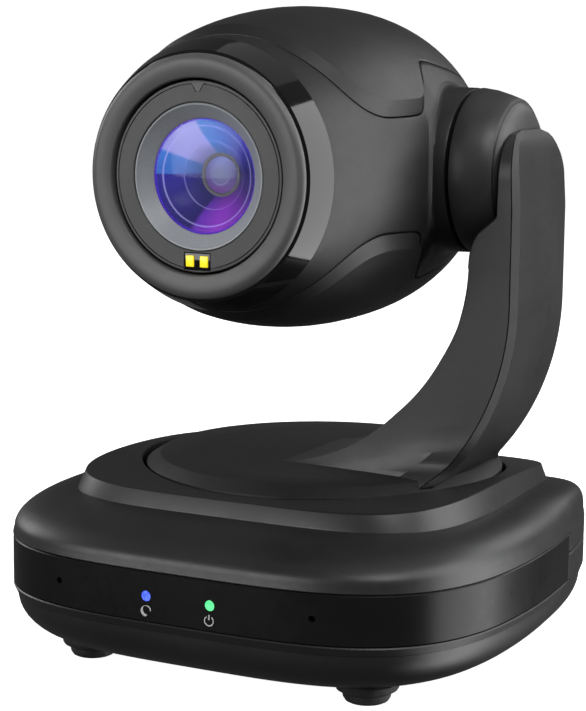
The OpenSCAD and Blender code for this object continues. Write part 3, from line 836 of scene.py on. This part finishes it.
def bossPiece():
    # blends from the curved side of the head into a flat face
    turnsRound, high, foot = 120, head["bossFace"], head["bossFoot"]
    rings = []
    for k in range(turnsRound):
        a = math.tau * k / turnsRound
        c, s = math.cos(a), math.sin(a)

        def surface(r):
            core = headRadius(r * c) - coreInset(r * c)
            return max(0.0, core ** 2 - (r * s) ** 2) ** 0.5

        mid = surface(20.1) + 0.45
        ring = []
        for r, x in [
                (22.2, surface(22.2) - 0.5), (21.4, surface(21.4) - 0.02), (20.6, surface(20.6) + 0.12),
                (20.1, mid), (19.85, mid + 0.7), (19.75, high - 0.45), (19.55, high - 0.12), (19.2, high),
                (8.0, high), (8.0, foot)]:
            ring.append((max(x, foot) if r > 8 else x, panY - r * c, tiltZ + r * s))
        rings.append(ring)
    size = len(rings[0])
    faces = []
    for k in range(turnsRound):
        n = (k + 1) % turnsRound
        for i in range(size - 1):
            faces.append((k * size + i, k * size + i + 1, n * size + i + 1, n * size + i))
    return tidyShell(emptyPiece("boss", [p for ring in rings for p in ring], [], faces))


def middleShell():
    # barrel between the two raised covers, with the boss that meets the arm
    rows = 56
    points, faces = [], []
    for d, reach, drop in coreStations():
        points += [headPoint(d, reach * (1 - 2 * i / rows), coreInset(d) + drop) for i in range(rows + 1)]
    size, count = rows + 1, len(points) // (rows + 1)
    for k in range(count - 1):
        for i in range(rows):
            faces.append((k * size + i, (k + 1) * size + i, (k + 1) * size + i + 1, k * size + i + 1))
    start = len(points)
    points += [(-x, y, z) for x, y, z in points]
    faces += [tuple(start + i for i in reversed(face)) for face in faces]
    shell = tidyShell(emptyPiece("middleShell", points, [], faces), angle=25, merge=0.002)
    thicken(shell, 1.5)
    boss = bossPiece()
    onlySelect(shell)
    boss.select_set(True)
    bpy.ops.object.join()
    return bpy.context.object


# distance along the lens axis and angle up from the side, for the foot and the top of a cover's edge
coverFoot = [
    (51.0, 90), (50.8, 75), (50.4, 62), (49.4, 52), (47.6, 41.5), (45.8, 34.5), (43.4, 29.0),
    (40.6, 25.4), (36.4, 22.8), (30, 22.0), (24, 21.9), (20.6, 22.4), (18.6, 24.2), (17.3, 27.2),
    (15.4, 32.5), (12.6, 38.2), (9.6, 42.0), (6, 42.2), (0, 40.6), (-8, 39.0), (-16, 37.6), (-21.9, 36.8)]
coverTop = [
    (48.0, 90), (48.0, 76), (47.7, 62), (46.6, 50), (44.6, 41.0), (42.4, 35.2), (40.0, 31.6),
    (37.0, 29.2), (33.0, 27.7), (28, 27.2), (23.5, 27.1), (20.0, 27.4), (18.0, 28.8), (16.8, 30.6),
    (14.9, 34.6), (12.0, 39.6), (9.2, 42.9), (5.8, 42.9), (0, 41.2), (-8, 39.6), (-16, 38.2), (-21.9, 37.4)]


def along(path, samples):
    # points spread evenly by index along a smooth curve through the path
    result = []
    last = len(path) - 1
    for k in range(samples + 1):
        t = k / samples * last
        i = min(int(t), last - 1)
        f = t - i
        p0, p1, p2, p3 = path[max(i - 1, 0)], path[i], path[i + 1], path[min(i + 2, last)]
        point = []
        for a, b, c, d in zip(p0, p1, p2, p3):
            square, cube = 2 * a - 5 * b + 4 * c - d, 3 * b - a - 3 * c + d
            point.append(0.5 * ((2 * b) + (c - a) * f + square * f * f + cube * f ** 3))
        result.append(tuple(point))
    return result


def raisedCover(name, side):
    samples = 168
    foot, top = along(coverFoot, samples), along(coverTop, samples)
    rows = 14
    half = []
    for k in range(samples + 1):
        crest = head["coverFront"] + (head["coverRear"] - head["coverFront"]) * (k / samples)
        (fd, fa), (td, ta) = foot[k], top[k]
        line = [headPoint(fd, fa, coreInset(fd) + 1.2), headPoint(fd, fa, coreInset(fd) - 0.02)]
        line.append(headPoint(fd + (td - fd) * 0.9, fa + (ta - fa) * 0.9, coreInset(fd) * 0.1))
        line.append(headPoint(td, ta, 0.0))
        for j in range(1, rows + 1):
            f = j / rows
            line.append(headPoint(td + (crest - td) * f, ta + (90 - ta) * f, 0.0))
        half.append(line)
    size = len(half[0])
    points, faces = [], []
    for line in half:
        points += [(x, y, tiltZ + side * (z - tiltZ)) for x, y, z in line]
    for k in range(samples):
        for i in range(size - 1):
            faces.append((k * size + i, (k + 1) * size + i, (k + 1) * size + i + 1, k * size + i + 1))
    start = len(points)
    points += [(-x, y, z) for x, y, z in points]
    faces += [tuple(start + i for i in reversed(face)) for face in faces]
    piece = emptyPiece(name, points, [], faces)
    tidyShell(piece, angle=13, merge=0.01)
    return sharper(thicken(piece, 0.8), 13)


def rearShell():
    seam = head["shellFront"]
    stations = [seam, -22.25] + [-23 - 1.1 * i for i in range(16)]
    outer = [(headRadius(d) - (0.3 if d == seam else 0.0), d) for d in stations]
    end = [(22.1, -40.4), (20.4, -41.5), (18.0, -42.6), (15.0, -43.4), (11.0, -43.9), (6.0, -44.15),
           (0, -44.2)]
    return turned(
        "rearShell", [(headRadius(seam) - 2.4, seam)] + outer + end,
        (0, panY, tiltZ), (0, -1, 0), steps=192, closed=False)


def bezel():
    d0, d1 = 57.55, 64.25
    stations = [d0 + 0.25 + (d1 - d0 - 0.5) * i / 8 for i in range(9)]
    outer = [(headRadius(d0) - 0.35, d0)]
    outer += [(headRadius(d) - 0.1, d) for d in stations]
    outer += [(headRadius(d1) - 0.4, d1)]
    bore = 24.9
    return turned("bezelRing", [(bore, d0)] + outer + [(bore, d1)], (0, panY, tiltZ), (0, -1, 0), steps=192)


def frontRing():
    return turned("frontRing", [
        (21.75, 60.0), (24.8, 60.0), (24.8, 64.3), (27.0, 64.3), (27.2, 64.5), (27.1, 65.0),
        (26.7, 65.5), (26.1, 65.88), (25.3, 66.0), (24.0, 65.9), (22.5, 65.6), (22.05, 65.45), (21.8, 65.1),
    ], (0, panY, tiltZ), (0, -1, 0), steps=192)


def facePlate():
    plate = turned("facePlate", [
        (16.45, 61.0), (21.2, 61.0), (21.25, 64.2), (21.1, 64.42), (20.62, 64.45), (20.58, 64.0),
        (20.42, 64.0), (20.38, 64.45), (16.7, 64.45), (16.5, 64.3),
    ], (0, panY, tiltZ), (0, -1, 0), steps=192)
    cutWith(plate, block((6.9, 3.2, 4.0), (0, panY - 64.5, tiltZ - head["windowDrop"])))
    cutWith(plate, wedge("wedgeCut", 0.17, panY - 65.5, panY - 63.9))
    return plate


def wedge(name, grow, y0, y1):
    top = tiltZ + 20.75
    half, point, drop = 1.75 + grow, 0.42 + grow, 1.85 + grow
    shape = [(-half, top), (-half + 0.45, top - 0.45), (-point, top - drop),
             (point, top - drop), (half - 0.45, top - 0.45), (half, top)]
    return skinned(name, [[(x, y, z) for x, z in shape] for y in (y0, y1)])


def notchTab():
    # small wedge on the plate's outer rim that keys it to the ring
    return wedge("notchTab", 0.0, panY - 64.45, panY - 63.2)


def softened(piece, width):
    soft = piece.modifiers.new("edge", "BEVEL")
    soft.width = width / 1000
    soft.segments = 3
    onlySelect(piece)
    bpy.ops.object.modifier_apply(modifier=soft.name)


def sensorTray():
    tray = block((6.7, 0.9, 3.8), (0, panY - 63.95, tiltZ - head["windowDrop"]))
    softened(tray, 0.2)
    tray.name = "sensorTray"
    return tidyShell(tray, merge=0.001)


def amberCells():
    cells = []
    for x in (-1.8, 1.8):
        cell = block((2.0, 0.5, 2.5), (x, panY - 64.5, tiltZ - head["windowDrop"]))
        softened(cell, 0.18)
        cells.append(cell)
    onlySelect(cells[0])
    cells[1].select_set(True)
    bpy.ops.object.join()
    bpy.context.object.name = "amberCells"
    return tidyShell(bpy.context.object, merge=0.001)


def lensTrim():
    return turned("lensTrim", [
        (12.95, 52.0), (16.35, 52.0), (16.4, 64.1), (16.25, 64.35), (15.9, 64.3), (15.3, 63.7),
        (14.8, 63.3), (13.6, 62.2), (13.2, 61.9), (12.95, 61.6),
    ], (0, panY, tiltZ), (0, -1, 0), steps=160)


finish(middleShell(), skin["head"], "head", "head_plastic", "middle_shell")
finish(raisedCover("topCover", 1), skin["head"], "head", "head_plastic", "top_shell")
finish(raisedCover("bottomCover", -1), skin["head"], "head", "head_plastic", "bottom_shell")
finish(rearShell(), skin["head"], "head", "head_plastic", "rear_shell")
finish(bezel(), skin["gloss"], "head", "gloss_black", "bezel_ring")
finish(frontRing(), skin["ring"], "head", "ring_plastic", "front_ring")
finish(facePlate(), skin["face"], "head", "face_plastic", "face_plate")
finish(notchTab(), skin["ring"], "head", "ring_plastic")
finish(sensorTray(), skin["gloss"], "head", "gloss_black")
finish(amberCells(), skin["amber"], "head", "amber_light", "status_window")
finish(lensTrim(), skin["trim"], "head", "trim_metal", "lens_trim")

# lens


def paintedReflectionCoat(name, reflectionSectors, radius, highlightRings, centre):
    # painted reflections over the coating's violet and blue: the colour turns with the angle round the axis
    # and deepens to the middle; painted highlight rings and a rim line are added, and emission makes it glow
    # though it is no lamp
    paint = Paint(name)
    spot = paint.add("ShaderNodeSeparateXYZ", {}, {"Vector": paint.place()})
    x, z = Wire(paint, spot.outputs[0]) * 1000, Wire(paint, spot.outputs[2]) * 1000 - tiltZ
    away = ((x * x + z * z) ** 0.5) * (1 / radius)
    angle = z.maths("ARCTAN2", z, x) * (0.5 / math.pi) + 0.5
    tint = paint.out("ShaderNodeValToRGB", {"stops": reflectionSectors}, {0: angle})
    mottle = paint.noise(420, 3.0, 0.5)
    tint = paint.mix(paint.spread(away, 0.62, 0.3, 0.0, 0.75), tint, rgb(*centre))
    # painted highlights: pale lilac rings at set distances from the axis
    for place, half, strength in highlightRings:
        near = paint.spread(away.maths("ABSOLUTE", away - place, 0.0), 0.0, half, strength, 0.0)
        tint = paint.mix(near, tint, rgb(0.42, 0.40, 0.72))
    # painted reflection: a violet line round the rim
    tint = paint.mix(paint.spread(away, 0.955, 0.985, 0.0, 0.9), tint, rgb(0.05, 0.012, 0.36))
    tint = paint.mix(paint.spread(mottle, 0.3, 0.7, 0.0, 0.1), tint, rgb(0.02, 0.02, 0.05))
    # emission makes the painted reflections glow, though the lens is no lamp
    return paint.set(
        Base_Color=tint, Emission_Color=tint, Emission_Strength=0.42, Specular_IOR_Level=0.15,
        Roughness=paint.spread(mottle, 0.3, 0.7, 0.4, 0.5), Coat_Weight=0.08, Coat_Roughness=0.05)


lensRadius = 12.9
bowlLine = [
    (lensRadius, 61.3), (12.5, 61.15), (11.4, 60.5), (11.0, 60.2), (9.4, 58.9), (7.8, 57.3), (7.4, 56.9),
    (6.2, 55.4), (4.9, 53.8)]
# painted reflection colours round the axis, from the left-hand side down, right, up and back; the pale lilac
# stretch is a painted highlight
skin["frontCoat"] = paintedReflectionCoat("frontCoating", [
    (0.0, rgb(0.016, 0.014, 0.20)), (0.10, rgb(0.014, 0.010, 0.13)), (0.195, rgb(0.012, 0.008, 0.085)),
    (0.215, rgb(0.10, 0.022, 0.30)), (0.29, rgb(0.20, 0.028, 0.36)), (0.37, rgb(0.13, 0.020, 0.26)),
    (0.45, rgb(0.030, 0.012, 0.10)), (0.53, rgb(0.012, 0.010, 0.075)), (0.60, rgb(0.030, 0.030, 0.22)),
    (0.68, rgb(0.045, 0.10, 0.36)), (0.775, rgb(0.05, 0.17, 0.46)), (0.785, rgb(0.27, 0.27, 0.56)),
    (0.92, rgb(0.25, 0.25, 0.54)), (0.928, rgb(0.035, 0.14, 0.44)), (0.997, rgb(0.028, 0.11, 0.38)),
    (1.0, rgb(0.016, 0.014, 0.20))],
    lensRadius, [(0.87, 0.018, 0.55), (0.59, 0.014, 0.30)], (0.02, 0.022, 0.07))
# the same painted reflections and highlight ring on the small inner element
skin["innerCoat"] = paintedReflectionCoat("innerCoating", [
    (0.0, rgb(0.05, 0.04, 0.14)), (0.25, rgb(0.10, 0.035, 0.16)), (0.5, rgb(0.07, 0.06, 0.16)),
    (0.75, rgb(0.13, 0.15, 0.34)), (1.0, rgb(0.05, 0.04, 0.14))],
    5.0, [(0.45, 0.04, 0.25)], (0.09, 0.11, 0.19))


def clearGlass():
    paint = Paint("frontClear")
    smear = paint.noise(120, 3.0, 0.5)
    return paint.set(
        Base_Color=rgb(0.93, 0.94, 1.0), Transmission_Weight=1.0, IOR=1.16,
        Roughness=paint.spread(smear, 0.45, 0.75, 0.0, 0.02))


skin["clear"] = clearGlass()


def domeLine(radius, edge, rise, count=16):
    sphere = (radius ** 2 + rise ** 2) / (2 * rise)
    line = []
    for i in range(count + 1):
        r = radius * (1 - i / count)
        line.append((r, edge + (sphere ** 2 - r ** 2) ** 0.5 - (sphere - rise)))
    return line


def lensTurned(name, points, steps, closed=True):
    return turned(name, points, (0, panY, tiltZ), (0, -1, 0), steps=steps, closed=closed)


def frontElement():
    outer, inner = domeLine(lensRadius, 61.6, 1.7), domeLine(lensRadius, 61.2, 1.55)
    return lensTurned("frontElement", inner[::-1] + outer, 128, closed=False)


def paintedReflectionBowl():
    return lensTurned("paintedReflectionBowl", [(lensRadius, 53.0)] + bowlLine + [(4.7, 53.6), (4.7, 53.0)], 128)


def pupilRing():
    return lensTurned("pupilRing", [
        (4.1, 53.4), (4.95, 53.4), (4.95, 53.95), (4.6, 54.1), (4.25, 53.95), (4.1, 53.7)], 96)


def dome(name, radius, edge, rise, back):
    return lensTurned(name, [(0, back), (radius, back)] + domeLine(radius, edge, rise), 96, closed=False)


finish(frontElement(), skin["clear"], "head", "lens_coating", "front_glass")
finish(paintedReflectionBowl(), skin["frontCoat"], "head", "lens_coating")
finish(pupilRing(), skin["ring"], "head", "trim_metal")
finish(dome("pupilElement", 4.2, 53.7, 0.8, 53.2), skin["innerCoat"], "head", "lens_coating")

# carried-over pieces

finishes = dict(
    steel=["base_plate", "base_screws", "drive_bracket", "bracket_screws", "pan_motor", "spindle",
           "spindle_clip", "arm_screws", "trunnion_shaft", "trunnion_clip", "lens_motors", "head_chassis",
           "tilt_motor", "shell_screws"],
    brass=["tripod_insert", "pan_pinion", "tilt_pinion"],
    board=["main_board", "indicator_board", "sensor_board"],
    moulded=["board_chips", "rear_panel", "power_jack", "control_socket", "remote_receiver",
             "lens_barrel", "iris_stop"],
    plated=["usb_socket", "microphones"],
    nylon=["thrust_ring", "pan_gear", "tilt_gear"],
    acetal=["pan_bush", "tilt_bush"],
    gloss=["image_sensor"],
    clear=["zoom_group", "focus_group"],
    blueLamp=["standby_light_pipe"],
    greenLamp=["power_light_pipe"],
)
for key, names in finishes.items():
    for name in names:
        paintNode(name, key)

# stage, light and camera


def stage():
    bpy.ops.object.select_all(action="DESELECT")
    bpy.ops.mesh.primitive_plane_add(size=8, location=(0, 0, -0.00005))
    floor = bpy.context.object
    floor.name = "floor"
    paint = Paint("paleFloor")
    speckle = paint.noise(90, 3.0, 0.5)
    floor.data.materials.append(paint.set(
        Base_Color=paint.mix(
            paint.spread(speckle, 0.4, 0.6, 0.0, 1.0), rgb(0.86, 0.86, 0.86), rgb(0.9, 0.9, 0.9)),
        Emission_Color=rgb(1, 1, 1), Emission_Strength=0.95, Roughness=0.8, Specular_IOR_Level=0.1))
    floor.visible_diffuse = False
    floor.visible_glossy = False


def softbox(name, place, target, wide, tall, power):
    light = bpy.data.lights.new(name, "AREA")
    light.shape = "RECTANGLE"
    light.size, light.size_y, light.energy = wide, tall, power
    holder = bpy.data.objects.new(name, light)
    bpy.context.collection.objects.link(holder)
    holder.location = place
    holder.rotation_euler = (Vector(target) - Vector(place)).to_track_quat("-Z", "Y").to_euler()
    holder.visible_camera = False


def worldLight():
    world = bpy.data.worlds.new("studio")
    bpy.context.scene.world = world
    world.use_nodes = True
    tree = world.node_tree
    for node in list(tree.nodes):
        tree.nodes.remove(node)
    path = tree.nodes.new("ShaderNodeLightPath")
    seen = tree.nodes.new("ShaderNodeBackground")
    seen.inputs[0].default_value = rgb(1, 1, 1)
    seen.inputs[1].default_value = 1.05
    unseen = tree.nodes.new("ShaderNodeBackground")
    unseen.inputs[0].default_value = rgb(1, 1, 1)
    unseen.inputs[1].default_value = 0.09
    both = tree.nodes.new("ShaderNodeMixShader")
    out = tree.nodes.new("ShaderNodeOutputWorld")
    tree.links.new(path.outputs["Is Camera Ray"], both.inputs[0])
    tree.links.new(unseen.outputs[0], both.inputs[1])
    tree.links.new(seen.outputs[0], both.inputs[2])
    tree.links.new(both.outputs[0], out.inputs[0])


def camera():
    lens = bpy.data.cameras.new("camera")
    lens.sensor_width = 36
    lens.lens = 100.56
    lens.shift_x = -0.0459
    lens.shift_y = 0.0044
    lens.clip_start = 0.01
    holder = bpy.data.objects.new("camera", lens)
    bpy.context.collection.objects.link(holder)
    turn, rise, roll = math.radians(26.62), math.radians(8.71), math.radians(0.70)
    back = Vector((math.sin(turn) * math.cos(rise), -math.cos(turn) * math.cos(rise), math.sin(rise)))
    right = Vector((math.cos(turn), math.sin(turn), 0))
    up = back.cross(right)
    right, up = right * math.cos(roll) + up * math.sin(roll), up * math.cos(roll) - right * math.sin(roll)
    place = Vector((0, panY / 1000, 0.0691)) + back * 0.5038
    holder.matrix_world = Matrix((
        (right.x, up.x, back.x, place.x), (right.y, up.y, back.y, place.y),
        (right.z, up.z, back.z, place.z), (0, 0, 0, 1)))
    bpy.context.scene.camera = holder


stage()
worldLight()
softbox("keyBox", (-0.6, -1.15, 0.33), (0, 0, 0.07), 0.9, 0.62, 9)
softbox("frontBox", (0.62, -0.55, 0.95), (0, 0, 0.1), 0.5, 0.5, 6)
softbox("sideBox", (0.44, 0.17, 0.04), (0, 0.14, 0.04), 0.46, 1.16, 7)
softbox("topBox", (0.0, 0.3, 1.5), (0, 0, 0.1), 1.2, 1.2, 1.5)
softbox("leftBox", (-1.2, 0.1, 0.5), (0, 0, 0.1), 0.7, 0.6, 5)
softbox("backBox", (0.5, 1.2, 0.8), (0, 0, 0.1), 0.6, 0.6, 3)
camera()
bpy.context.scene.view_settings.view_transform = "Standard"
print("stage, lights and camera set")
